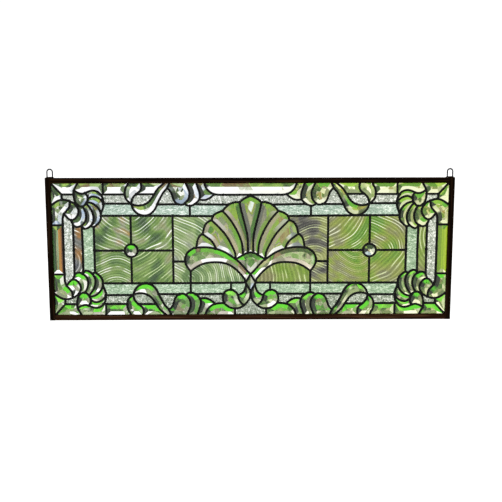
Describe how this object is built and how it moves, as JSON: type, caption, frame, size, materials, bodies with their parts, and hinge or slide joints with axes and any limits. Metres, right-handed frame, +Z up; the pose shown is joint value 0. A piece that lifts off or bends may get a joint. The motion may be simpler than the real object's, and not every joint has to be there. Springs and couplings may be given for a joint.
{
  "type": "stained glass window",
  "caption": "Leaded transom panel of clear bevelled, baroque, hammered and rippled glass with a shell, corner rosettes and ribbons, in a metal frame with two wire hanging loops.",
  "frame": {"origin": "midway between the two hooks that carry the panel, where they bear under the tops of the two loops' eyes", "axes": "+Z up, +X to the right of someone facing the front, -Y towards that person"},
  "size_m": [0.914, 0.009, 0.3444],
  "materials": {
    "frame_bar": "brown-black patinated zinc channel, worn at the edges",
    "loop_wire": "grey tinned wire with dark solder at the feet",
    "lead_came": "black patinated lead came with soft solder joints",
    "bevelled_glass": "clear polished plate with ground and polished bevels",
    "textured_glass": "clear hammered or rippled cathedral glass",
    "baroque_glass": "clear baroque glass with reamy streaks and swirls"
  },
  "bodies": {
    "root": {"frame_bottom_bar": "frame_bar", "frame_top_bar": "frame_bar", "frame_left_bar": "frame_bar", "frame_right_bar": "frame_bar", "hanging_loop_left": "loop_wire", "hanging_loop_right": "loop_wire", "lead_came": "lead_came", "corner_border_top_left": "bevelled_glass", "rosette_top_left": "bevelled_glass", "border_bevels_top_left": "bevelled_glass", "ribbon_top_left": "bevelled_glass", "outer_textures_top_left": "textured_glass", "inner_textures_top_left": "textured_glass", "petals_top_left": "bevelled_glass", "corner_border_bottom_left": "bevelled_glass", "rosette_bottom_left": "bevelled_glass", "border_bevels_bottom_left": "bevelled_glass", "ribbon_bottom_left": "bevelled_glass", "outer_textures_bottom_left": "textured_glass", "inner_textures_bottom_left": "textured_glass", "petals_bottom_left": "bevelled_glass", "side_bevel_strip_left": "bevelled_glass", "side_hammered_strip_left": "textured_glass", "side_baroque_strip_left": "baroque_glass", "side_rippled_strip_left": "textured_glass", "baroque_field_left": "baroque_glass", "rondel_left": "bevelled_glass", "shoulder_left": "baroque_glass", "dome_left": "baroque_glass", "wing_left": "bevelled_glass", "foot_bevel_left": "bevelled_glass", "corner_border_top_right": "bevelled_glass", "rosette_top_right": "bevelled_glass", "border_bevels_top_right": "bevelled_glass", "ribbon_top_right": "bevelled_glass", "outer_textures_top_right": "textured_glass", "inner_textures_top_right": "textured_glass", "petals_top_right": "bevelled_glass", "corner_border_bottom_right": "bevelled_glass", "rosette_bottom_right": "bevelled_glass", "border_bevels_bottom_right": "bevelled_glass", "ribbon_bottom_right": "bevelled_glass", "outer_textures_bottom_right": "textured_glass", "inner_textures_bottom_right": "textured_glass", "petals_bottom_right": "bevelled_glass", "side_bevel_strip_right": "bevelled_glass", "side_hammered_strip_right": "textured_glass", "side_baroque_strip_right": "baroque_glass", "side_rippled_strip_right": "textured_glass", "baroque_field_right": "baroque_glass", "rondel_right": "bevelled_glass", "shoulder_right": "baroque_glass", "dome_right": "baroque_glass", "wing_right": "bevelled_glass", "foot_bevel_right": "bevelled_glass", "shell": "bevelled_glass", "shield": "bevelled_glass", "diamond": "bevelled_glass", "top_centre_bevel": "bevelled_glass", "bell": "textured_glass"}
  },
  "joints": []
}
